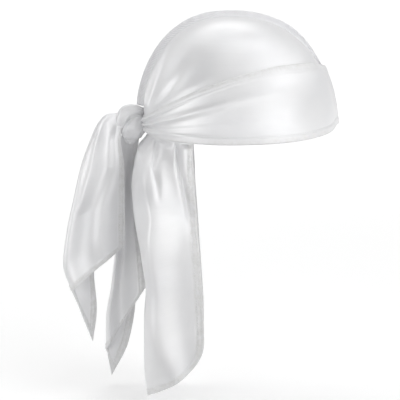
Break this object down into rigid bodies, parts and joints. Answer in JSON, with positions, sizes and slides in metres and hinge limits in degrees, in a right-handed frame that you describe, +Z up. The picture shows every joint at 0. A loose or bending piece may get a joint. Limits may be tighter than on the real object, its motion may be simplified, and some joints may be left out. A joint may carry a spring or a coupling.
{
  "type": "satin durag",
  "caption": "Worn satin durag: two-panel crown with a standing centre seam, a wide band drawn into a knot at the back, two hanging tie ends and a long neck flap.",
  "frame": {"origin": "top of the hollow for the head, on the centre line, where the durag sits on the crown of the head", "axes": "+X forward, from the knot to the forehead; +Y to the wearer's left; +Z up"},
  "size_m": [0.2736, 0.1699, 0.3812],
  "materials": {
    "satin": "white satin, soft broad sheen",
    "seam_edge": "white sewing thread and overlocked satin edge"
  },
  "bodies": {
    "root": {"crown_right": "satin", "crown_left": "satin", "crown_seam": "seam_edge", "wrap_band": "satin", "knot_core": "satin", "knot_strand": "satin", "near_tie_end": "satin", "far_tie_end": "satin", "neck_flap": "satin"}
  },
  "joints": []
}
